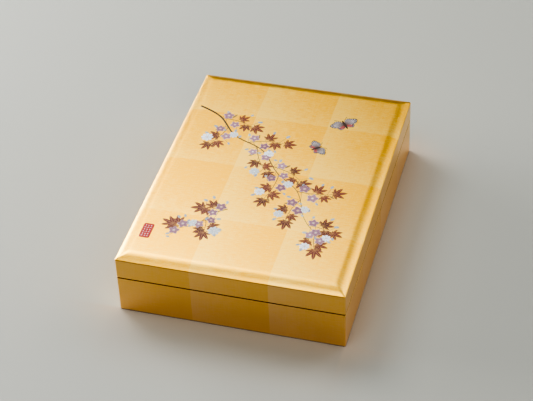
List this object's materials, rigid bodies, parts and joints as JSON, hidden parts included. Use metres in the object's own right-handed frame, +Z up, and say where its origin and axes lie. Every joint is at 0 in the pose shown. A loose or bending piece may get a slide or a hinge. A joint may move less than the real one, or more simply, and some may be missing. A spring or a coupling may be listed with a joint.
{
  "type": "decorative document box",
  "caption": "Low rectangular box for sheets of paper, gold leaf over lacquered wood, with a flush lift-off lid, moulded lid edge and a painted flowering spray.",
  "frame": {"origin": "centre of the underside, on the surface that the box stands on", "axes": "+Z up out of the lid, +X to the right and +Y to the back, with the front long way off at -Y; the box is longest along Y"},
  "size_m": [0.255, 0.345, 0.0786],
  "materials": {
    "gilded_wood": "satin gold leaf over dark lacquer"
  },
  "bodies": {
    "root": {"base": "gilded_wood", "lid": "gilded_wood"}
  },
  "joints": []
}
